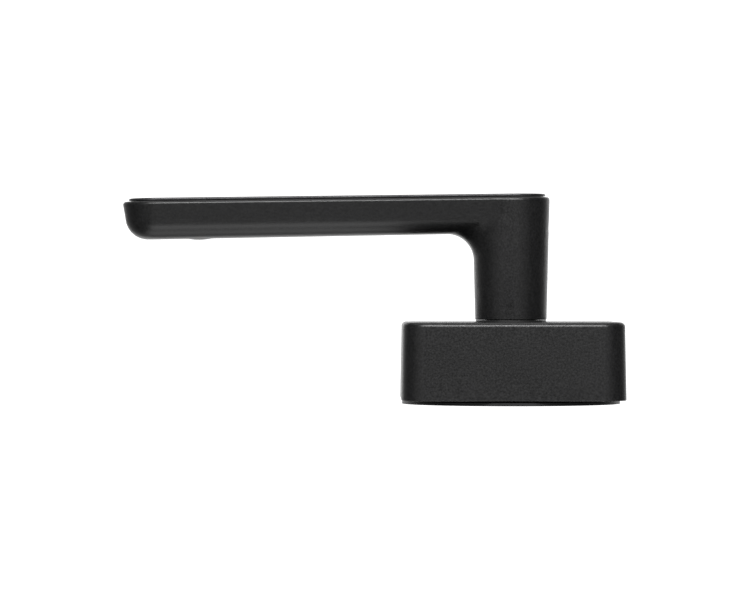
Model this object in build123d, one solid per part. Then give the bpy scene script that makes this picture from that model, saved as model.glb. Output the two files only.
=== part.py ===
from build123d import *
import math
import os

# Lever door handle on a square rose: the lever, its face plate, the turning hub with its return
# spring, the bearings, the rose cover and the plate that is bolted to the door.
#
# Every piece is drawn "on the bench", in millimetres: the spindle axis is Z, the door face is
# Z = 0, Z grows out of the door, X points along the lever to its tip and Y is up.
# Only the last step stands the pieces up against the door (see on_door).

# ---- driving sizes: the rose ---------------------------------------------------------------
rose_width = 68.85         # across the flats of the square cover, at its open rim
rose_rim_z = 1.55          # the rim floats this far off the door: a shadow gap over the plate
rose_height = 23.95        # rim to top face
rose_corner_r = 8.2
rose_draft = 1.08          # degrees, so that the casting leaves its mould
rose_edge_r = 1.5
rose_wall = 2.2
rim_edge_r = 0.25
plate_t = 0.95             # round mounting plate behind the cover
plate_raise = 1.8          # its raised centre carries the chassis and the rear bush
plate_margin = 0.4         # the disc stays this far inside the middles of the cover's sides
screw_spacing = 34.0       # four chassis screws on a square
cover_screw_z = 12.0       # set screw in the middle of the cover's lower side
chassis_wall = 3.4
chassis_rib = 2.2
chassis_roof = 2.6

# ---- driving sizes: the lever --------------------------------------------------------------
neck_r = 11.15             # at the collar; the neck widens towards the front
head_r = 12.1              # front-view radius of the lever over the spindle
tip_r = 11.3               # front-view radius of the rounded tip
reach = 121.3              # spindle axis to tip
front_z = 64.3             # front of the lever body, over the spindle
front_slope = 0.66         # degrees towards the door, along the lever
grip_x = 19.5              # where the underside of the grip is measured
back_z = 52.9              # underside of the grip at grip_x
back_slope = 1.05
grip_draft = 9.0           # degrees: the grip's sides lean in towards the door
grip_back_r = 7.0          # round-over of the grip's underside and tip
inner_blend_r = 8.3        # round in the corner between neck and grip
front_rim_r = 0.95
neck_edge = 0.25
plate_inset = 1.3          # the face plate's edge, inside the lever's outline
tip_setback = 0.7          # it stops a little further from the tip
plate_proud = 1.0
plate_edge_r = 0.45
plug_from_tip = 23.9       # screw plug under the grip
plug_rise = 0.48           # height of its low dome
pocket_depth = 5.5         # cells cast into the lever, under the face plate
rib_t = 2.0

# ---- driving sizes: what turns, and its bearings ---------------------------------------------
socket_width = 8.1         # square socket for an 8 mm spindle
hub_r = 8.0
turn = 45.0                # degrees either way, from stop to stop
wire_r = 1.25              # wire of the return spring
coil_turns = 2
cam_t = 2.5
tab_w = 4.0                # tab of the cam plate, between the spring's legs
tab_t = 1.9
post_r = 2.0               # stop pin and spring post
bush_wall = 2.0
collar_t = 0.5
clip_t = 1.0
flat_depth = 1.4           # flats on the hub, inside the neck

# ---- screws --------------------------------------------------------------------------------
m3_r, m3_free_r, m3_head_r, m3_head_t = 1.5, 1.6, 2.85, 1.35
m4_bore_r, m4_free_r = 1.65, 2.15
m5_r, m5_free_r, m5_head_r, m5_head_t, m5_key = 2.5, 2.7, 4.25, 4.9, 4.0
m6_r, m6_free_r, m6_key = 3.0, 3.3, 3.0
cross_length, cross_width = 3.0, 0.6
sleeve_r = 2.8             # brass sleeves for the two through-bolts
sleeve_length = 12.0
grub_length = 6.0
washer_r, washer_t = 5.0, 1.0
plug_r = 4.4
stud_r = 3.0

# ---- fits ----------------------------------------------------------------------------------
running = 0.05             # radial play of the hub in its bushes
end_play = 0.1
press = 0.02               # a pressed-in ring is drawn this much under its seat
slip = 0.2                 # cover over chassis
shadow = 0.3               # the face plate's edge is stepped: this much of it stays in the shade
seat_depth = 0.4           # the plate sinks this far into the lever, on its tape
tape_t = 0.25

# ---- sizes that follow ---------------------------------------------------------------------
plate_r = rose_width / 2 - plate_margin
plate_top = plate_t + plate_raise
plate_raise_r = screw_spacing * math.sqrt(0.5) + m3_head_r + 0.1
rose_top = rose_rim_z + rose_height
ceiling = rose_top - rose_wall
lean = math.tan(math.radians(rose_draft))
cover_side = rose_width / 2 - (cover_screw_z - rose_rim_z) * lean
journal_r = hub_r - 1.1
bush_r = hub_r + bush_wall
collar_r = bush_r + 1.0
neck_base_z = rose_top + collar_t + 0.1

coil_r = hub_r + 2.35 + wire_r
cam_r = coil_r + wire_r + 0.25 + tab_t
cam_z = plate_top + 1.0
cam_top = cam_z + cam_t
flat_x = hub_r - 1.1       # half width over the hub's flats, where the cam plate sits
stop_y = hub_r + 2.9 + post_r
post_y = cam_r + 0.3 + post_r
leg_x = tab_w / 2 + wire_r + 0.05
leg_end = post_y + post_r + 0.3
spring_z = cam_top + wire_r + 0.05
spring_pitch = 2 * wire_r + 0.1
well_r = cam_r + 0.4
slot_r = leg_end + 0.6
sleeve_x = well_r + 0.8 + sleeve_r
clip_z = spring_z + spring_pitch * (coil_turns + 0.2) + wire_r + 1.3
wall_bottom = clip_z + 2 * clip_t + 0.8
chassis_top = ceiling - 0.6

grub_z = neck_base_z + 6.0
socket_depth = grub_z + 6.0
thread_z = socket_depth + 1.9
flat_y = hub_r - flat_depth
hub_top = front_z - 14.3
web_top = hub_top + 4.0
step_inset = plate_inset + 0.7
ledge_depth = seat_depth + tape_t
plug_x = reach - plug_from_tip
thickness = front_z - back_z - plug_x * math.tan(math.radians(front_slope))
thickness += (plug_x - grip_x) * math.tan(math.radians(back_slope))
screw_seat = pocket_depth + 2.06

BOTTOM = (Align.CENTER, Align.CENTER, Align.MIN)
TOP = (Align.CENTER, Align.CENTER, Align.MAX)
FRONT = Pos(0, 0, front_z) * Rot(0, front_slope, 0)
PLUG = FRONT * Pos(plug_x, 0, 0)
BOLTS = [(-sleeve_x, 0), (sleeve_x, 0)]
SCREWS = [(x * screw_spacing / 2, y * screw_spacing / 2) for x in (-1, 1) for y in (-1, 1)]
RIBS = [head_r + i * (plug_x - 16.4 - head_r) / 3 for i in range(4)] + [plug_x + 10.6]


# ---- shapes used more than once --------------------------------------------------------------
def rod(r, z0, z1, x=0.0, y=0.0):
    return Pos(x, y, z0) * Cylinder(r, z1 - z0, align=BOTTOM)


def ring(r_out, r_in, z0, z1):
    return rod(r_out, z0, z1) - rod(r_in, z0 - 1, z1 + 1)


def two_flats(r, half, z0, z1, across="x"):
    """A round bar with two flats."""
    size = (2 * half, 4 * r) if across == "x" else (4 * r, 2 * half)
    return rod(r, z0, z1) & Pos(0, 0, z0) * Box(size[0], size[1], z1 - z0, align=BOTTOM)


def hexagon(across_flats, z0, z1):
    flat = RegularPolygon(across_flats / 2, 6, major_radius=False)
    return extrude(Pos(0, 0, z0) * flat, amount=z1 - z0)


def cross_recess(z0, z1):
    """Two crossed slots for a screwdriver."""
    bar = Box(cross_length, cross_width, z1 - z0, align=BOTTOM)
    return Pos(0, 0, z0) * (bar + Rot(0, 0, 90) * bar)


def drafted_square(width, corner, z0, z1):
    return extrude(Pos(0, 0, z0) * RectangleRounded(width, width, corner), amount=z1 - z0,
                   taper=rose_draft)


def sector(r, half_angle, z0, z1, towards):
    """A wedge of pie about the Z axis, opening towards the given angle."""
    a = math.radians(half_angle)
    far = (r * math.sin(a), r * math.cos(a))
    with BuildSketch() as s:
        with BuildLine():
            Line((0, 0), far)
            ThreePointArc(far, (0, r), (-far[0], far[1]))
            Line((-far[0], far[1]), (0, 0))
        make_face()
    return Pos(0, 0, z0) * Rot(0, 0, towards - 90) * extrude(s.sketch, amount=z1 - z0)


def end_edge(shape, which):
    """The lowest (0) or highest (-1) round edge."""
    return shape.edges().filter_by(GeomType.CIRCLE).sort_by(Axis.Z)[which]


def outline(inset, setback=0.0):
    """The lever seen from the front: two rounds joined by straight sides, drawn smaller."""
    r0 = head_r - inset
    r1 = tip_r - inset
    x1 = (reach - tip_r) / math.cos(math.radians(front_slope)) - setback
    lift = math.asin((r0 - r1) / x1)
    a = (r0 * math.sin(lift), r0 * math.cos(lift))
    b = (x1 + r1 * math.sin(lift), r1 * math.cos(lift))
    with BuildSketch() as s:
        with BuildLine():
            Line(a, b)
            ThreePointArc(b, (x1 + r1, 0), (b[0], -b[1]))
            Line((b[0], -b[1]), (a[0], -a[1]))
            ThreePointArc((a[0], -a[1]), (-r0, 0), a)
        make_face()
    return s.sketch


def front_slab(inset, low, high, setback=0.0):
    """A slab of the front outline, from low to high measured out of the lever's front plane."""
    return FRONT * Pos(0, 0, low) * extrude(outline(inset, setback), amount=high - low)


# ---- the rose: what is fixed to the door -----------------------------------------------------
def make_mounting_plate():
    """Pressed steel disc with a raised centre that carries the chassis and the rear bush."""
    plate = rod(plate_r, 0, plate_t) + rod(plate_raise_r, plate_t, plate_top)
    plate -= rod(bush_r, -1, plate_top + 1)
    plate -= rod(post_r, -1, plate_top + 1, 0, -stop_y)
    for x, y in BOLTS:
        plate -= rod(m4_free_r, -1, plate_top + 1, x, y)
    for x, y in SCREWS:
        plate -= rod(m3_free_r, -1, plate_top + 1, x, y)
        plate -= Pos(x, y, 0) * Cone(m3_head_r + 0.1, m3_r + 0.05, m3_head_t + 0.05, align=BOTTOM)
    return plate


def make_chassis():
    """Die-cast carrier: a well for the spring, posts for the screws, pockets to save metal."""
    width = rose_width - 2 * rose_wall - 2 * slip - 2 * (plate_top - rose_rim_z) * lean
    body = drafted_square(width, rose_corner_r - rose_wall, plate_top, chassis_top)
    body = chamfer(body.faces().sort_by(Axis.Z)[-1].edges(), 0.8)
    body += ring(bush_r + 8, bush_r + 4, chassis_top - 1, ceiling)

    inner = width - 2 * chassis_wall
    pocket = RectangleRounded(inner, inner, 4.5) - Circle(slot_r + 2.4)
    for x, y in SCREWS:
        pocket -= Pos(x, y) * Circle(m3_r + 3.5)
    for angle in (0, 45, 90, 135):
        pocket -= Rot(0, 0, angle) * Rectangle(2 * inner, chassis_rib)
    depth = chassis_top - chassis_roof - plate_top
    body -= extrude(Pos(0, 0, plate_top) * pocket, amount=depth)

    body -= rod(well_r, plate_top, wall_bottom)
    body -= sector(slot_r, turn + 15, spring_z - wire_r - 0.6, wall_bottom, 90)
    body -= rod(bush_r, wall_bottom - 1, ceiling + 1)
    body -= rod(post_r, wall_bottom - 1, wall_bottom + 3, 0, post_y)
    for x, y in BOLTS:
        body -= rod(sleeve_r, plate_top, plate_top + sleeve_length, x, y)
    for x, y in SCREWS:
        body -= rod(m3_r, plate_top, plate_top + 7, x, y)
    dimple = Cylinder(m3_r + 0.05, 5, align=BOTTOM)
    return body - Pos(0, -cover_side + 4.3, cover_screw_z) * Rot(90, 0, 0) * dimple


def make_rose_cover():
    """Square cover: an open box with drafted sides, a rounded top edge and a hole for the neck."""
    outer = drafted_square(rose_width, rose_corner_r, rose_rim_z, rose_top)
    outer = fillet(outer.faces().sort_by(Axis.Z)[-1].edges(), rose_edge_r)
    outer = fillet(outer.faces().sort_by(Axis.Z)[0].edges(), rim_edge_r)
    inner_width = rose_width - 2 * rose_wall + 2 * lean
    inner = drafted_square(inner_width, rose_corner_r - rose_wall, rose_rim_z - 1, ceiling)
    cover = outer - inner - rod(bush_r, ceiling - 1, rose_top + 1)
    hole = Cylinder(m3_r, 2 * rose_wall + 2, align=BOTTOM)
    return cover - Pos(0, -cover_side + rose_wall + 1, cover_screw_z) * Rot(90, 0, 0) * hole


def make_cover_screw():
    """M3 set screw under the rose; its point sits in a dimple of the chassis."""
    screw = rod(m3_r, 0, 2.9) + Pos(0, 0, 2.9) * Cone(m3_r, 0.8, 0.6, align=BOTTOM)
    screw -= hexagon(1.5, -1, 1.3)
    return Pos(0, -cover_side + 0.7, cover_screw_z) * Rot(-90, 0, 0) * screw


def make_chassis_screws():
    """Four M3 countersunk screws, flush with the back of the mounting plate."""
    screw = Pos(0, 0, 0.05) * Cone(m3_head_r, m3_r, m3_head_t, align=BOTTOM)
    screw += rod(m3_r, 0.05 + m3_head_t, plate_top + 6)
    screw += Pos(0, 0, plate_top + 6) * Cone(m3_r, 1.0, 0.5, align=BOTTOM)
    screw -= cross_recess(-1, 0.9)
    return Compound([Pos(x, y, 0) * screw.solids()[0] for x, y in SCREWS])


def make_threaded_sleeves():
    """Two M4 brass sleeves moulded into the chassis; the through-bolts screw into them."""
    sleeve = ring(sleeve_r, m4_bore_r, plate_top, plate_top + sleeve_length)
    sleeve = chamfer(end_edge(sleeve, 0), 0.2)
    return Compound([Pos(x, y, 0) * sleeve.solids()[0] for x, y in BOLTS])


def make_neck_bush():
    """Collar between rose and neck: its flange is the thin ring under the lever's neck."""
    bush = ring(bush_r - press, hub_r + running, ceiling, rose_top)
    return bush + ring(collar_r, hub_r + running, rose_top, rose_top + collar_t)


def make_front_bush():
    bush = ring(bush_r - press, hub_r + running, wall_bottom, chassis_top)
    return bush + ring(bush_r + 2, hub_r + running, wall_bottom - 1.0, wall_bottom)


def make_rear_bush():
    return ring(bush_r - press, journal_r + running, 0.2, plate_top)


def make_stop_pin():
    pin = rod(post_r, 0.2, cam_top + 0.6, 0, -stop_y)
    return chamfer(end_edge(pin, -1), 0.3)


def make_spring_post():
    post = rod(post_r, cam_top + 0.3, wall_bottom + 3, 0, post_y)
    return chamfer(end_edge(post, 0), 0.3)


def make_return_spring():
    """Torsion spring, drawn at rest: both legs stand either side of the cam's tab and the post."""
    overlap = math.degrees(1.15 * wire_r / coil_r)
    start = 90 - math.degrees(math.asin(leg_x / coil_r)) - overlap
    sweep_angle = 360 * coil_turns + 2 * (90 - start)
    height = spring_pitch * sweep_angle / 360
    path = Helix(spring_pitch, height, coil_r)
    wire = Plane(origin=path @ 0, z_dir=path % 0) * Circle(wire_r)
    coil = sweep(wire, path=path, is_frenet=True)
    spring = Pos(0, 0, spring_z) * Rot(0, 0, start) * coil
    y0 = math.sqrt(coil_r**2 - leg_x**2)
    rise = spring_pitch * overlap / 360
    for x, z in ((leg_x, spring_z + rise), (-leg_x, spring_z + height - rise)):
        leg = Cylinder(wire_r - 0.05, leg_end - y0, align=BOTTOM)
        spring += Pos(x, y0, z) * Rot(-90, 0, 0) * leg
    return spring


# ---- the lever: what turns with the spindle ----------------------------------------------------
def make_drive_hub():
    """Steel hub: square socket behind, journals in three bushes, flats inside the neck."""
    hub = rod(journal_r, 0.2, cam_z)
    hub += two_flats(hub_r, flat_x, cam_z, cam_top + 0.05)
    hub += rod(hub_r, cam_top + 0.05, neck_base_z)
    hub += two_flats(hub_r - 0.1, flat_y, neck_base_z, hub_top, across="y")
    hub -= ring(hub_r + 1, hub_r - 0.6, clip_z - 0.05, clip_z + clip_t + 0.05)
    hub -= Pos(0, 0, -1) * Box(socket_width, socket_width, socket_depth + 1, align=BOTTOM)
    hub -= rod(m5_r, thread_z, hub_top + 1)
    return hub - Pos(0, 0, grub_z) * Rot(90, 0, 0) * Cylinder(m6_r, hub_r + 2, align=BOTTOM)


def make_spindle_grub_screw():
    """M6 grub screw, flush with the socket wall; tightened, it holds the spindle."""
    screw = rod(m6_r, 0, grub_length - 0.4)
    screw += Pos(0, 0, grub_length - 0.4) * Cone(m6_r, m6_r - 0.5, 0.4, align=BOTTOM)
    screw -= hexagon(m6_key, -1, grub_length / 2)
    outer_end = socket_width / 2 + 0.1 + grub_length
    return Pos(0, -outer_end, grub_z) * Rot(-90, 0, 0) * screw


def make_cam_plate():
    """Stamped plate keyed to the hub: a bent-up tab works the spring, a notch meets the stop."""
    reach_half = turn + math.degrees(math.asin(post_r / stop_y)) + 0.35
    cam = rod(cam_r, cam_z, cam_top)
    notch = sector(cam_r + 2, reach_half, cam_z - 1, cam_top + 1, -90)
    cam -= notch - rod(stop_y - post_r - 0.2, cam_z - 2, cam_top + 2)
    cam -= two_flats(hub_r + 0.05, flat_x + 0.05, cam_z - 1, cam_top + 1)
    tab = ring(cam_r, cam_r - tab_t, cam_z + 0.5, clip_z - 0.3)
    return cam + (tab & Pos(0, cam_r, cam_z) * Box(tab_w, 4 * tab_t, 20, align=BOTTOM))


def make_thrust_washer():
    return ring(journal_r + 3.6, journal_r + 0.1, plate_top, cam_z - end_play)


def make_shim_washer():
    return ring(bush_r + 1.8, hub_r + 0.1, clip_z + clip_t, wall_bottom - 1 - running)


def make_circlip():
    """External circlip in the hub's groove: it keeps the lever from being pulled out."""
    clip = ring(hub_r + 2.2, hub_r - 0.6, clip_z, clip_z + clip_t)
    clip -= sector(hub_r + 6, 22, clip_z - 1, clip_z + 2, -90)
    for side in (-25, 25):
        lug = rod(1.7, clip_z, clip_z + clip_t, 0, -hub_r - 2.25)
        eye = rod(0.6, clip_z - 1, clip_z + 2, 0, -hub_r - 2.6)
        clip += Rot(0, 0, side) * lug - rod(hub_r - 0.6, 0, clip_z + 5)
        clip -= Rot(0, 0, side) * eye
    return clip


def make_lever_body():
    """One casting, neck and grip together, hollowed from the front and closed by the face plate."""
    below = Box(4 * reach, 4 * reach, 4 * reach, align=TOP)
    grip = extrude(FRONT * outline(0), amount=-18, taper=grip_draft)
    grip -= Pos(grip_x, 0, back_z) * Rot(0, back_slope, 0) * below
    grip = fillet(grip.faces().sort_by(Axis.Z)[0].edges(), grip_back_r)
    neck = loft([Pos(0, 0, neck_base_z) * Circle(neck_r), FRONT * Circle(head_r)])
    body = grip + neck
    junction = []
    for edge in body.edges():
        box = edge.bounding_box()
        if box.min.X > -2 and box.max.X < head_r + 3 and abs(box.min.Z - back_z) < grip_back_r:
            junction.append(edge)
    body = fillet(junction, inner_blend_r)
    flats = body.faces().filter_by(GeomType.PLANE).sort_by(Axis.Z)
    body = fillet(flats[-1].edges(), front_rim_r)
    flats = body.faces().filter_by(GeomType.PLANE).sort_by(Axis.Z)
    body = chamfer(flats[0].edges(), neck_edge)

    # From the front: a shallow ledge for the face plate, then cells with ribs between them.
    body -= front_slab(step_inset - 0.1, -ledge_depth, 2, tip_setback)
    cells = front_slab(step_inset + 1.8, -pocket_depth, 2, tip_setback)
    for x in RIBS:
        cells -= FRONT * Pos(x, 0, -pocket_depth) * Box(rib_t, 40, 20, align=BOTTOM)
    body -= cells
    body -= rod(washer_r + 1.0, web_top, front_z + 2)
    body -= rod(m5_free_r, hub_top - 1, web_top + 1)
    body -= two_flats(hub_r - 0.05, flat_y + 0.05, neck_base_z - 1, hub_top, across="y")
    body -= Pos(0, 0, grub_z) * Rot(90, 0, 0) * Cylinder(m6_free_r, head_r + 5, align=BOTTOM)

    # From behind: the seat of the face plate's screw and of its plug.
    body -= PLUG * Pos(0, 0, -screw_seat) * Cylinder(plug_r, 20, align=TOP)
    return body - PLUG * Pos(0, 0, -screw_seat - 1) * Cylinder(m4_bore_r, 8, align=BOTTOM)


def make_face_plate():
    """Thin flat plate closing the front; its edge is stepped, which leaves a shadow line."""
    top = front_slab(plate_inset, shadow, plate_proud, tip_setback)
    highest = top.faces().filter_by(GeomType.PLANE).sort_by(Axis.Z)[-1]
    top = fillet(highest.edges(), plate_edge_r)
    return top + front_slab(step_inset, -seat_depth, shadow, tip_setback)


def make_face_plate_tape():
    strip = front_slab(step_inset + 0.05, -ledge_depth, -seat_depth, tip_setback)
    return strip - front_slab(step_inset + 1.7, -2, 2, tip_setback)


def make_plate_stud():
    """Threaded stud welded to the back of the face plate."""
    length = pocket_depth - seat_depth - 0.05
    stud = Pos(0, 0, -seat_depth) * Cylinder(stud_r, length, align=TOP)
    stud -= Pos(0, 0, -seat_depth - 1.2) * Cylinder(m3_r, 10, align=TOP)
    return PLUG * stud


def make_plate_screw():
    """M3 pan-head screw, put in from behind, that pulls the face plate down."""
    head = Pos(0, 0, -screw_seat) * Cylinder(2.8, 1.8, align=TOP)
    screw = fillet(end_edge(head, 0), 0.6)
    screw += Pos(0, 0, -screw_seat) * Cylinder(m3_r, 5.6, align=BOTTOM)
    return PLUG * (screw - cross_recess(-screw_seat - 3, -screw_seat - 0.6))


def make_screw_plug():
    """Pressed-in plug with a low dome, the small bump under the grip near the tip."""
    r = plug_r - 0.05
    edge = 0.1 - thickness
    inner_end = -screw_seat - 1.84
    ball = (r * r + plug_rise * plug_rise) / (2 * plug_rise)
    dome = Pos(0, 0, edge - plug_rise + ball) * Sphere(ball)
    plug = Pos(0, 0, inner_end) * Cylinder(r, 4, align=TOP) & dome
    return PLUG * (plug - Pos(0, 0, inner_end) * Cylinder(r - 1.15, 1.0, align=TOP))


def make_hub_bolt():
    """M5 socket-head screw under the face plate; it holds the lever on the hub."""
    head_z = web_top + washer_t
    bolt = rod(m5_head_r, head_z, head_z + m5_head_t)
    bolt = chamfer(end_edge(bolt, -1), 0.4)
    bolt += rod(m5_r, thread_z + 1.5, head_z)
    return bolt - hexagon(m5_key, head_z + m5_head_t / 2, head_z + m5_head_t + 1)


def make_hub_bolt_washer():
    return ring(washer_r, m5_r + 0.15, web_top, web_top + washer_t)


# ---- stand every piece on the door and save it -------------------------------------------------
def on_door(shape):
    """Bench to door: the lever's Y becomes up (Z), and out of the door becomes -Y."""
    return Rot(90, 0, 0) * shape


pieces = {
    "mounting_plate": make_mounting_plate(),
    "chassis": make_chassis(),
    "rose_cover": make_rose_cover(),
    "cover_screw": make_cover_screw(),
    "chassis_screws": make_chassis_screws(),
    "threaded_sleeves": make_threaded_sleeves(),
    "neck_bush": make_neck_bush(),
    "front_bush": make_front_bush(),
    "rear_bush": make_rear_bush(),
    "stop_pin": make_stop_pin(),
    "spring_post": make_spring_post(),
    "return_spring": make_return_spring(),
    "drive_hub": make_drive_hub(),
    "spindle_grub_screw": make_spindle_grub_screw(),
    "cam_plate": make_cam_plate(),
    "thrust_washer": make_thrust_washer(),
    "shim_washer": make_shim_washer(),
    "circlip": make_circlip(),
    "lever_body": make_lever_body(),
    "face_plate": make_face_plate(),
    "face_plate_tape": make_face_plate_tape(),
    "plate_stud": make_plate_stud(),
    "plate_screw": make_plate_screw(),
    "screw_plug": make_screw_plug(),
    "hub_bolt": make_hub_bolt(),
    "hub_bolt_washer": make_hub_bolt_washer(),
}

os.makedirs("parts", exist_ok=True)
for name, shape in pieces.items():
    export_step(on_door(shape), f"parts/{name}.step")
    print(name, len(shape.solids()), round(shape.volume, 1))
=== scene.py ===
import bmesh
import bpy
import math
from mathutils import Matrix, Vector


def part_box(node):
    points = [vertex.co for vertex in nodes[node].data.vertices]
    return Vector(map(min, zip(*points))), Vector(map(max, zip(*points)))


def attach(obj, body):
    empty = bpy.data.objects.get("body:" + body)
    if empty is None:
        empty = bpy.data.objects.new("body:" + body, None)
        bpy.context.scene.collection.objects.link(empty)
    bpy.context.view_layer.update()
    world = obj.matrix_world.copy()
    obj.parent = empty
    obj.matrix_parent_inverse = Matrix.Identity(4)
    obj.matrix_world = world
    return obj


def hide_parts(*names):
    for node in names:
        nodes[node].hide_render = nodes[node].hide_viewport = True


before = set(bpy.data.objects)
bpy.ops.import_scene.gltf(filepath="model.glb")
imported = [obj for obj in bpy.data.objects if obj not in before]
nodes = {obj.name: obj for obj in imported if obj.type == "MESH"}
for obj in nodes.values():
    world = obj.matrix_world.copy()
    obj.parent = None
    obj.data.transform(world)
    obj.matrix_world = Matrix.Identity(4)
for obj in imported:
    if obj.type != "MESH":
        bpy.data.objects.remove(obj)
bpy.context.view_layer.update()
scene = bpy.context.scene

# ---- camera ----------------------------------------------------------------------------------
# A long lens looks straight down on the handle's upper side, with the door's side of it at the
# bottom of the frame and the tip to the left.
CAMERA_PLACE = (0.04245, -0.0323, 1.2)
camera_data = bpy.data.cameras.new("camera")
camera_data.sensor_width = 36.0
camera_data.lens = 184.4
camera = bpy.data.objects.new("camera", camera_data)
camera.location = CAMERA_PLACE
camera.rotation_euler = (0.0, 0.0, math.pi)
scene.collection.objects.link(camera)
scene.camera = camera


# ---- floor and light -------------------------------------------------------------------------
# A plain white floor well below the handle, in a dim surround that only the camera sees as pale.
# Overhead soft boxes draw the highlights along the edges and the faint bands on the round neck.
FLOOR_DROP = 0.35
FLOOR_SIZE = 6.0
GLOW_EDGE = 0.45           # the floor only lights the handle from this near
SURROUND = 0.08
PALE = 1.0
TARGET = Vector((0.045, -0.032, 0.0))

floor_mesh = bmesh.new()
bmesh.ops.create_grid(floor_mesh, x_segments=1, y_segments=1, size=FLOOR_SIZE / 2)
floor_data = bpy.data.meshes.new("floor")
floor_mesh.to_mesh(floor_data)
floor_mesh.free()
floor = bpy.data.objects.new("floor", floor_data)
floor.location.z = -FLOOR_DROP
scene.collection.objects.link(floor)
floor_paint = bpy.data.materials.new("floor_paint")
floor_paint.use_nodes = True
floor_shader = floor_paint.node_tree.nodes["Principled BSDF"]
floor_shader.inputs["Base Color"].default_value = (0.3, 0.3, 0.3, 1)
floor_shader.inputs["Roughness"].default_value = 0.9
floor_shader.inputs["Specular IOR Level"].default_value = 0.1
floor_shader.inputs["Emission Color"].default_value = (1, 1, 1, 1)
lamp = floor_paint.node_tree
spot = lamp.nodes.new("ShaderNodeTexCoord")
reach = lamp.nodes.new("ShaderNodeVectorMath")
reach.operation = "LENGTH"
fade = lamp.nodes.new("ShaderNodeMapRange")
fade.inputs["From Min"].default_value = GLOW_EDGE
fade.inputs["From Max"].default_value = GLOW_EDGE / 2
watched = lamp.nodes.new("ShaderNodeLightPath")
glow = lamp.nodes.new("ShaderNodeMath")
glow.operation = "MAXIMUM"
lamp.links.new(spot.outputs["Object"], reach.inputs[0])
lamp.links.new(reach.outputs["Value"], fade.inputs["Value"])
lamp.links.new(fade.outputs["Result"], glow.inputs[0])
lamp.links.new(watched.outputs["Is Camera Ray"], glow.inputs[1])
lamp.links.new(glow.outputs["Value"], floor_shader.inputs["Emission Strength"])
floor_data.materials.append(floor_paint)

world = bpy.data.worlds.new("surround")
world.use_nodes = True
sky = world.node_tree.nodes["Background"]
seen = world.node_tree.nodes.new("ShaderNodeLightPath")
strength = world.node_tree.nodes.new("ShaderNodeMapRange")
strength.inputs["To Min"].default_value = SURROUND
strength.inputs["To Max"].default_value = PALE
world.node_tree.links.new(seen.outputs["Is Camera Ray"], strength.inputs["Value"])
world.node_tree.links.new(strength.outputs["Result"], sky.inputs["Strength"])
sky.inputs["Color"].default_value = (1, 1, 1, 1)
scene.world = world
scene.view_settings.view_transform = "Standard"


def soft_box(name, direction, distance, width, height, radiance):
    """A soft box aimed at the handle, given by its direction from it and how bright it looks."""
    light = bpy.data.lights.new(name, "AREA")
    light.shape = "RECTANGLE"
    light.size = width
    light.size_y = height
    light.energy = radiance * math.pi * width * height
    holder = bpy.data.objects.new(name, light)
    towards = Vector(direction).normalized()
    holder.location = TARGET + towards * distance
    holder.rotation_euler = towards.to_track_quat("Z", "Y").to_euler()
    scene.collection.objects.link(holder)


soft_box("soft_box_front", (0.0, -0.58, 0.81), 1.0, 1.0, 0.27, 16.5)
soft_box("soft_box_low", (0.0, -0.99, -0.12), 1.0, 1.2, 0.5, 1.5)
soft_box("soft_box_overhead", (0.0, 0.40, 0.91), 1.0, 0.9, 0.40, 0.45)
soft_box("soft_box_door", (0.0, 0.84, 0.54), 1.0, 1.0, 0.40, 2.0)
soft_box("soft_box_door_low", (0.0, 0.99, -0.05), 1.0, 1.0, 0.55, 1.2)
soft_box("soft_box_tip_side", (0.62, 0.0, 0.78), 1.0, 0.26, 0.8, 0.4)
soft_box("soft_box_hub_side", (-0.50, 0.0, 0.86), 1.0, 0.26, 0.8, 0.35)

# ---- mounting plate --------------------------------------------------------------------------
# Pressed steel disc that is bolted to the door, zinc plated and passivated black. The plating
# follows the rolling marks of the sheet.
CLOUD_SCALE = 70.0         # soft patches, about 14 mm across
DARK_END, LIGHT_END = 0.32, 0.68
GLOSS_FROM, GLOSS_TO = 0.3, 0.7


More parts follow.
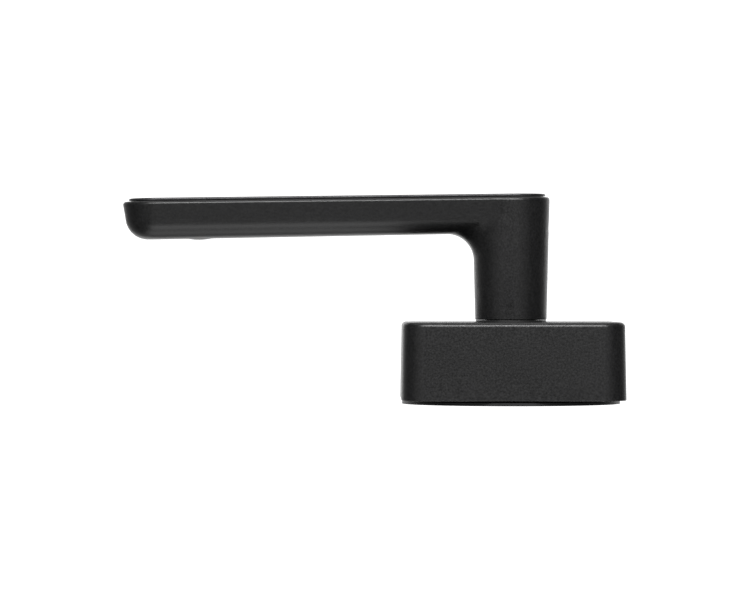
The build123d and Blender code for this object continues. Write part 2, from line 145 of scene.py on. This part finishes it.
def finish(name, dark, light, grain, rough, bump, metal=0.0, stretch=(1, 1, 1), patch=0.0):
    """A finish with a fine grain in its colour, gloss and surface, and soft patches over it."""
    made = bpy.data.materials.new(name)
    made.use_nodes = True
    tree = made.node_tree
    shader = tree.nodes["Principled BSDF"]
    shader.inputs["Metallic"].default_value = metal
    where = tree.nodes.new("ShaderNodeTexCoord")
    turn = tree.nodes.new("ShaderNodeMapping")
    turn.inputs["Scale"].default_value = stretch
    tree.links.new(where.outputs["Object"], turn.inputs["Vector"])

    speckle = tree.nodes.new("ShaderNodeTexNoise")
    speckle.inputs["Scale"].default_value = 1 / grain
    speckle.inputs["Detail"].default_value = 3.0
    speckle.inputs["Roughness"].default_value = 0.6
    tree.links.new(turn.outputs["Vector"], speckle.inputs["Vector"])
    clouds = tree.nodes.new("ShaderNodeTexNoise")
    clouds.inputs["Scale"].default_value = CLOUD_SCALE
    clouds.inputs["Detail"].default_value = 4.0
    tree.links.new(where.outputs["Object"], clouds.inputs["Vector"])

    tone = tree.nodes.new("ShaderNodeMix")
    tone.inputs["Factor"].default_value = patch
    tree.links.new(speckle.outputs["Fac"], tone.inputs["A"])
    tree.links.new(clouds.outputs["Fac"], tone.inputs["B"])
    colours = tree.nodes.new("ShaderNodeValToRGB")
    colours.color_ramp.elements[0].position = DARK_END
    colours.color_ramp.elements[0].color = (*dark, 1)
    colours.color_ramp.elements[1].position = LIGHT_END
    colours.color_ramp.elements[1].color = (*light, 1)
    tree.links.new(tone.outputs["Result"], colours.inputs["Fac"])
    tree.links.new(colours.outputs["Color"], shader.inputs["Base Color"])

    gloss = tree.nodes.new("ShaderNodeMapRange")
    gloss.inputs["From Min"].default_value = GLOSS_FROM
    gloss.inputs["From Max"].default_value = GLOSS_TO
    gloss.inputs["To Min"].default_value = rough[0]
    gloss.inputs["To Max"].default_value = rough[1]
    tree.links.new(tone.outputs["Result"], gloss.inputs["Value"])
    tree.links.new(gloss.outputs["Result"], shader.inputs["Roughness"])

    relief = tree.nodes.new("ShaderNodeBump")
    relief.inputs["Strength"].default_value = 1.0
    relief.inputs["Distance"].default_value = bump
    tree.links.new(speckle.outputs["Fac"], relief.inputs["Height"])
    tree.links.new(relief.outputs["Normal"], shader.inputs["Normal"])
    return made


def coat(material, *names):
    """Gives CAD pieces their finish."""
    for name in names:
        nodes[name].data.materials.clear()
        nodes[name].data.materials.append(material)


black_plating = finish("black_plating", (0.016, 0.016, 0.017), (0.032, 0.032, 0.034), 0.0005,
                       (0.34, 0.5), 0.000004, metal=0.3, stretch=(0.12, 1, 1), patch=0.4)
coat(black_plating, "mounting_plate")

# ---- chassis ---------------------------------------------------------------------------------
# Zinc die casting that carries every fixed piece, left as it comes from the mould: dull, cloudy,
# with a faint skin from the flow of the metal.
raw_zinc = finish("raw_zinc", (0.30, 0.31, 0.33), (0.50, 0.51, 0.52), 0.0011, (0.42, 0.62),
                  0.00002, metal=0.85, patch=0.65)
coat(raw_zinc, "chassis")

# ---- rose cover ------------------------------------------------------------------------------
# Thick square zinc cover with a satin black powder coat. The coat has flowed to a fine grain,
# thinner on the edges.
powder_coat = finish("powder_coat", (0.0036, 0.0036, 0.0038), (0.0150, 0.0150, 0.0154), 0.0006,
                     (0.29, 0.41), 0.000022, patch=0.10)
powder_coat.node_tree.nodes["Principled BSDF"].inputs["Specular IOR Level"].default_value = 0.5
coat(powder_coat, "rose_cover")

# ---- cover screw -----------------------------------------------------------------------------
# M3 set screw under the rose, black oxide steel, with a hexagon socket and a cut thread. It
# clamps the cover on the chassis.
MM = 0.001
ON_DOOR = Matrix.Rotation(math.radians(90), 4, "X")
FULL_TURN = 2 * math.pi
THREAD_STEPS = 20
RIDGE_ROOT = 0.05          # how far a ridge is sunk into its core
RIDGE_HALF = 0.4           # half its height, as a share of the pitch
WELD = 1e-7


def turned(profile, steps=48):
    """A lathe-turned shape about Z from (radius, height) pairs in millimetres."""
    made = bmesh.new()
    line = [made.verts.new((r * MM, 0, h * MM)) for r, h in profile]
    edges = [made.edges.new(pair) for pair in zip(line, line[1:])]
    bmesh.ops.spin(made, geom=line + edges, cent=(0, 0, 0), axis=(0, 0, 1), angle=FULL_TURN,
                   steps=steps, use_merge=True)
    bmesh.ops.remove_doubles(made, verts=made.verts, dist=WELD)
    return made


def cut_thread(made, core, crest, low, high, pitch):
    """A screw thread: one closed ridge wound round the core."""
    root = core - RIDGE_ROOT
    ridge = [(root, -RIDGE_HALF), (crest, 0.0), (root, RIDGE_HALF)]
    corners = [made.verts.new((r * MM, 0, (low + k * pitch) * MM)) for r, k in ridge]
    start = made.faces.new(corners)
    turns = (high - low) / pitch
    steps = max(1, round(turns * THREAD_STEPS))
    bmesh.ops.spin(made, geom=[start] + list(start.edges) + corners, cent=(0, 0, 0),
                   axis=(0, 0, 1), dvec=(0, 0, (high - low) * MM / steps),
                   angle=FULL_TURN * turns, steps=steps, use_merge=False)


def hexagon_socket(made, across_flats, top, depth):
    """Closes the open rim at height top with a face that has a hexagon socket in it."""
    rim = [e for e in made.edges if e.is_boundary]
    key = bmesh.ops.create_circle(made, segments=6, radius=across_flats / math.sqrt(3) * MM,
                                  matrix=Matrix.Translation((0, 0, top * MM)))
    mouth = list({e for v in key["verts"] for e in v.link_edges})
    bmesh.ops.bridge_loops(made, edges=rim + mouth)
    walls = bmesh.ops.extrude_edge_only(made, edges=mouth)["geom"]
    low = [v for v in walls if isinstance(v, bmesh.types.BMVert)]
    bmesh.ops.translate(made, verts=low, vec=(0, 0, -depth * MM))
    bmesh.ops.contextual_create(made, geom=[e for e in walls if isinstance(e, bmesh.types.BMEdge)])


def add_piece(name, made, place, body, material, stands_for, sharp=32):
    """Makes a modelled piece into an object in its place, riding on its body in place of its plain
    CAD node.
    """
    bmesh.ops.transform(made, matrix=place, verts=made.verts)
    bmesh.ops.recalc_face_normals(made, faces=made.faces)
    mesh = bpy.data.meshes.new(name)
    made.to_mesh(mesh)
    made.free()
    mesh.materials.append(material)
    mesh.polygons.foreach_set("use_smooth", [True] * len(mesh.polygons))
    mesh.set_sharp_from_angle(angle=math.radians(sharp))
    item = bpy.data.objects.new(name, mesh)
    scene.collection.objects.link(item)
    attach(item, body)
    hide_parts(stands_for)
    return item


black_steel = finish("black_steel", (0.020, 0.020, 0.022), (0.05, 0.05, 0.054), 0.0003,
                     (0.30, 0.48), 0.000003, metal=0.6, patch=0.5)
M3_CORE, M3_CREST, M3_PITCH = 1.23, 1.49, 0.5
low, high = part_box("cover_screw")
cover_screw_length = (high.z - low.z) / MM
cover_screw = turned([(1.3, 0), (M3_CORE, 0.12), (M3_CORE, cover_screw_length - 0.5),
                      (0.75, cover_screw_length), (0, cover_screw_length - 0.2)], 32)
hexagon_socket(cover_screw, 1.5, 0.0, -1.3)
cut_thread(cover_screw, M3_CORE, M3_CREST, 0.35, cover_screw_length - 0.8, M3_PITCH)
add_piece("cover_set_screw", cover_screw,
          Matrix.Translation(((low.x + high.x) / 2, (low.y + high.y) / 2, low.z)),
          "rose", black_steel, "cover_screw")

# ---- chassis screws --------------------------------------------------------------------------
# Four countersunk M3 screws with a cross recess, bright zinc plated, put in through the back of
# the plate and flush with it.
zinc_plate = finish("zinc_plate", (0.50, 0.51, 0.50), (0.66, 0.66, 0.63), 0.0004, (0.22, 0.36),
                    0.000003, metal=1.0, patch=0.6)


def cross_socket(made, length, width, top, depth):
    """Closes the open rim at height top with a face that has a tapering cross recess."""
    rim = [e for e in made.edges if e.is_boundary]
    grid = bmesh.ops.create_grid(made, x_segments=3, y_segments=3, size=length * MM / 2,
                                 matrix=Matrix.Translation((0, 0, top * MM)))
    for vert in grid["verts"]:
        for axis in (0, 1):
            if abs(vert.co[axis]) < length * MM * 0.4:
                vert.co[axis] = math.copysign(width * MM / 2, vert.co[axis])
    cells = list({f for v in grid["verts"] for f in v.link_faces})
    corners = [f for f in cells if min(abs(c) for c in f.calc_center_median()[:2]) > width * MM]
    bmesh.ops.delete(made, geom=corners, context="FACES")
    cross = [f for f in cells if f.is_valid]
    mouth = [e for e in {e for f in cross for e in f.edges} if e.is_boundary]
    deep = bmesh.ops.extrude_face_region(made, geom=cross)["geom"]
    bmesh.ops.delete(made, geom=[f for f in cross if f.is_valid], context="FACES")
    floor_verts = [v for v in deep if isinstance(v, bmesh.types.BMVert)]
    bmesh.ops.scale(made, verts=floor_verts, vec=(0.7, 0.7, 1.0))
    bmesh.ops.translate(made, verts=floor_verts, vec=(0, 0, -depth * MM))
    bmesh.ops.triangle_fill(made, use_beauty=True, use_dissolve=False, edges=rim + mouth,
                            normal=(0, 0, 1))


M3_HEAD_R, M3_HEAD_DEPTH = 2.85, 1.5
low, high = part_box("chassis_screws")
screw_tip = (high.y - low.y) / MM
half_spacing = high.x - M3_HEAD_R * MM
chassis_screw = turned([(M3_HEAD_R - 0.15, 0), (M3_HEAD_R, 0.15), (M3_CORE, M3_HEAD_DEPTH),
                        (M3_CORE, screw_tip - 0.6), (0.9, screw_tip), (0, screw_tip)])
cross_socket(chassis_screw, 2.9, 0.62, 0.0, -1.0)
cut_thread(chassis_screw, M3_CORE, M3_CREST, 1.9, screw_tip - 0.7, M3_PITCH)
first = chassis_screw.verts[:] + chassis_screw.edges[:] + chassis_screw.faces[:]
bmesh.ops.translate(chassis_screw, verts=chassis_screw.verts,
                    vec=(-half_spacing, -half_spacing, 0))
for shift in ((2, 0, 0), (0, 2, 0), (2, 2, 0)):
    extra = bmesh.ops.duplicate(chassis_screw, geom=first)["geom"]
    bmesh.ops.translate(chassis_screw, vec=Vector(shift) * half_spacing,
                        verts=[v for v in extra if isinstance(v, bmesh.types.BMVert)])
add_piece("chassis_screw_set", chassis_screw, Matrix.Translation((0, high.y, 0)) @ ON_DOOR,
          "rose", zinc_plate, "chassis_screws")

# ---- threaded sleeves ------------------------------------------------------------------------
# Two turned brass sleeves, knurled outside so that the casting grips them, threaded inside for
# the bolts that come through the door.
turned_brass = finish("turned_brass", (0.60, 0.42, 0.17), (0.78, 0.58, 0.27), 0.0003,
                      (0.2, 0.34), 0.000004, metal=1.0, stretch=(1, 3, 1), patch=0.3)
M4_BORE, M4_PITCH, SLEEVE_R, KNURL = 1.68, 0.7, 2.79, 0.12
SLEEVE_HALF = 2.8          # half the width of its plain node
KNURL_FROM_R, KNURL_MIN_AREA = 2.7, 4e-7
low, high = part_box("threaded_sleeves")
sleeve_length = (high.y - low.y) / MM
sleeve_offset = high.x - SLEEVE_HALF * MM
sleeve_rim, sleeve_band = SLEEVE_R - 0.2, sleeve_length / 2 - 0.8
sleeve = turned([(M4_BORE, 0.25), (M4_BORE + 0.25, 0), (sleeve_rim, 0), (SLEEVE_R, 0.2),
                 (SLEEVE_R, sleeve_band), (sleeve_rim, sleeve_band + 0.2),
                 (sleeve_rim, sleeve_band + 1.4), (SLEEVE_R, sleeve_band + 1.6),
                 (SLEEVE_R, sleeve_length), (M4_BORE, sleeve_length), (M4_BORE, 0.25)], 40)
knurled = [f for f in sleeve.faces
           if f.calc_area() > KNURL_MIN_AREA
           and math.hypot(*f.calc_center_median()[:2]) > KNURL_FROM_R * MM]
bmesh.ops.inset_individual(sleeve, faces=knurled, thickness=0.05 * MM, depth=-KNURL * MM)
for turn_count in range(1, int(sleeve_length / M4_PITCH)):
    crest_at = M4_PITCH * turn_count
    groove = turned([(M4_BORE + 0.02, crest_at - 0.25), (M4_BORE - 0.05, crest_at),
                     (M4_BORE + 0.02, crest_at + 0.25), (M4_BORE + 0.02, crest_at - 0.25)], 40)
    ring_mesh = bpy.data.meshes.new("thread_turn")
    groove.to_mesh(ring_mesh)
    groove.free()
    sleeve.from_mesh(ring_mesh)
    bpy.data.meshes.remove(ring_mesh)
first = sleeve.verts[:] + sleeve.edges[:] + sleeve.faces[:]
bmesh.ops.translate(sleeve, verts=sleeve.verts, vec=(-sleeve_offset, 0, 0))
extra = bmesh.ops.duplicate(sleeve, geom=first)["geom"]
bmesh.ops.translate(sleeve, vec=(2 * sleeve_offset, 0, 0),
                    verts=[v for v in extra if isinstance(v, bmesh.types.BMVert)])
add_piece("knurled_sleeves", sleeve, Matrix.Translation((0, high.y, 0)) @ ON_DOOR,
          "rose", turned_brass, "threaded_sleeves")

# ---- bushes and washer -----------------------------------------------------------------------
# Bearings for the hub: a black nylon collar that shows as a thin ring under the neck, and two
# bushes and a thrust washer in natural acetal, all moulded.
moulded_nylon = finish("moulded_nylon", (0.010, 0.010, 0.010), (0.018, 0.018, 0.018), 0.0002,
                       (0.38, 0.52), 0.000008, patch=0.2)
coat(moulded_nylon, "neck_bush")
acetal = finish("acetal", (0.74, 0.73, 0.69), (0.84, 0.83, 0.79), 0.0006, (0.34, 0.46),
                0.000006, patch=0.5)
coat(acetal, "front_bush", "rear_bush", "thrust_washer")

# ---- stop pin and spring post ----------------------------------------------------------------
# Two ground steel pins pressed into the plate and the casting. One stops the cam, the other
# holds the spring's idle leg.
ground_steel = finish("ground_steel", (0.46, 0.46, 0.47), (0.62, 0.62, 0.61), 0.00025,
                      (0.2, 0.32), 0.000003, metal=1.0, stretch=(1, 6, 1), patch=0.2)
coat(ground_steel, "stop_pin", "spring_post")

# ---- return spring ---------------------------------------------------------------------------
# Torsion spring wound from one oiled wire: two full turns, then both ends bent outwards, one on
# each side of the cam's tab.
spring_wire = finish("spring_wire", (0.13, 0.13, 0.14), (0.27, 0.27, 0.29), 0.0004,
                     (0.24, 0.4), 0.000004, metal=1.0, patch=0.4)
WIRE_R = 1.25
COIL_STEPS = 16
LEG_OFFSET = 3.3           # each leg from the middle of the tab
LEG_POINTS = (0.0, -2.5, -5.0)
low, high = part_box("return_spring")
coil_r = (high.x - low.x) / 2 - WIRE_R * MM
leg_end = high.z
near_turn = -high.y + WIRE_R * MM
rise = high.y - low.y - 2 * WIRE_R * MM
leg_x = LEG_OFFSET * MM
lean_in = math.asin(leg_x / coil_r)
sweep_angle = 2 * FULL_TURN + 2 * lean_in
count = round(sweep_angle / FULL_TURN * COIL_STEPS)
path = [(leg_x, z * MM) for z in LEG_POINTS]
path = [(x, leg_end + z, near_turn) for x, z in path] + [(leg_x, coil_r + 0.2 * MM, near_turn)]
swell = coil_r / math.cos(math.pi / COIL_STEPS) ** 0.7
for step in range(1, count):
    angle = math.pi / 2 - lean_in + sweep_angle * step / count
    path.append((swell * math.cos(angle), swell * math.sin(angle), near_turn + rise * step / count))
path += [(-x, z, near_turn + rise) for x, z, y in reversed(path[:4])]
wire = bpy.data.curves.new("wound_spring", "CURVE")
wire.dimensions = "3D"
wire.bevel_depth = (WIRE_R - 0.02) * MM
wire.bevel_resolution = 6
wire.resolution_u = 6
wire.use_fill_caps = True
line = wire.splines.new("NURBS")
line.points.add(len(path) - 1)
for point, (x, z, out) in zip(line.points, path):
    point.co = (x, -out, z, 1)
line.order_u = 3
line.use_endpoint_u = True
wire.materials.append(spring_wire)
wound_spring = bpy.data.objects.new("wound_spring", wire)
scene.collection.objects.link(wound_spring)
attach(wound_spring, "rose")
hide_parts("return_spring")

# ---- drive hub, cam plate, shim and circlip --------------------------------------------------
# The steel hub takes the square spindle. The stamped cam plate is keyed to it, and a shim and a
# sprung clip in the hub's groove hold both in the casting.
coat(ground_steel, "drive_hub")
coat(zinc_plate, "cam_plate", "shim_washer", "hub_bolt_washer", "plate_stud")
coat(spring_wire, "circlip")

# ---- spindle grub screw ----------------------------------------------------------------------
# M6 grub screw in the side of the neck, black oxide, with a hexagon socket and a cup point that
# bites on the spindle.
M6_CORE, M6_CREST, M6_PITCH, M6_KEY = 2.55, 2.98, 1.0, 3.0
low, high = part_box("spindle_grub_screw")
grub_length = (high.z - low.z) / MM
grub = turned([(2.6, 0), (2.75, 0.2), (M6_CORE, 0.5), (M6_CORE, grub_length - 0.6),
               (2.0, grub_length), (1.2, grub_length), (0, grub_length - 0.8)], 40)
hexagon_socket(grub, M6_KEY, 0.0, -3.0)
cut_thread(grub, M6_CORE, M6_CREST, 0.7, grub_length - 0.8, M6_PITCH)
add_piece("neck_grub_screw", grub,
          Matrix.Translation(((low.x + high.x) / 2, (low.y + high.y) / 2, low.z)),
          "lever", black_steel, "spindle_grub_screw")

# ---- lever body ------------------------------------------------------------------------------
# Neck and grip in one zinc casting, with the same satin black powder coat as the rose.
coat(powder_coat, "lever_body")

# ---- hub bolt --------------------------------------------------------------------------------
# M5 cap screw under the face plate, black oxide, with a knurled head and a hexagon socket. It
# pulls the lever on to the hub.
M5_CORE, M5_CREST, M5_PITCH, M5_HEAD_R, M5_HEAD_T, M5_KEY = 2.1, 2.48, 0.8, 4.2, 4.9, 4.0
HEAD_SIDE_FROM_R, HEAD_SIDE_MIN_AREA = 4.0, 1e-6
low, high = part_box("hub_bolt")
bolt_length = (high.y - low.y) / MM
seat = bolt_length - M5_HEAD_T
bolt = turned([(0, 0), (1.8, 0), (M5_CORE, 0.4), (M5_CORE, seat), (M5_HEAD_R - 0.1, seat),
               (M5_HEAD_R, seat + 0.2), (M5_HEAD_R, bolt_length - 0.6),
               (M5_HEAD_R - 0.5, bolt_length)], 48)
head_side = [f for f in bolt.faces
             if f.calc_area() > HEAD_SIDE_MIN_AREA
             and math.hypot(*f.calc_center_median()[:2]) > HEAD_SIDE_FROM_R * MM]
bmesh.ops.inset_individual(bolt, faces=head_side, thickness=0.08 * MM, depth=-0.15 * MM)
hexagon_socket(bolt, M5_KEY, bolt_length, 2.5)
cut_thread(bolt, M5_CORE, M5_CREST, 0.5, seat - 1.2, M5_PITCH)
add_piece("hub_cap_screw", bolt, Matrix.Translation((0, high.y, 0)) @ ON_DOOR,
          "lever", black_steel, "hub_bolt")

# ---- face plate, its tape and its fixing -----------------------------------------------------
# Thin aluminium plate, brushed along its length and anodised black. Foam tape beds it, and one
# M3 screw from behind pulls on a stud welded to its back.
anodised = finish("anodised", (0.045, 0.045, 0.047), (0.075, 0.075, 0.077), 0.0003,
                  (0.26, 0.38), 0.000005, metal=0.6, stretch=(0.03, 1, 1), patch=0.15)
coat(anodised, "face_plate")
foam_tape = finish("foam_tape", (0.008, 0.008, 0.008), (0.022, 0.022, 0.022), 0.0003,
                   (0.8, 0.95), 0.00004, patch=0.2)
coat(foam_tape, "face_plate_tape")

PAN_HEAD_R, PAN_HEAD_T = 2.8, 1.8
FACE_SLOPE = 0.66          # degrees, as the front of the lever
low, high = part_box("plate_screw")
slope = math.radians(FACE_SLOPE)
plate_screw_length = (high.y - low.y) / MM / math.cos(slope)
plate_screw = turned([(1.9, 0), (2.35, 0.15), (2.7, 0.5), (PAN_HEAD_R, 0.9),
                      (PAN_HEAD_R, PAN_HEAD_T), (M3_CORE, PAN_HEAD_T),
                      (M3_CORE, plate_screw_length - 0.5), (0.9, plate_screw_length - 0.1),
                      (0, plate_screw_length - 0.1)])
cross_socket(plate_screw, 2.7, 0.6, 0.0, -1.1)
cut_thread(plate_screw, M3_CORE, M3_CREST, PAN_HEAD_T + 0.5, plate_screw_length - 0.6, M3_PITCH)
tilt = Matrix.Translation(((low.x + high.x) / 2, high.y, 0)) @ ON_DOOR
add_piece("pan_head_screw", plate_screw, tilt @ Matrix.Rotation(slope, 4, "Y"),
          "lever", black_steel, "plate_screw")

# ---- screw plug ------------------------------------------------------------------------------
# Black nylon plug pressed over that screw. Its low dome is the small bump under the grip.
coat(moulded_nylon, "screw_plug")
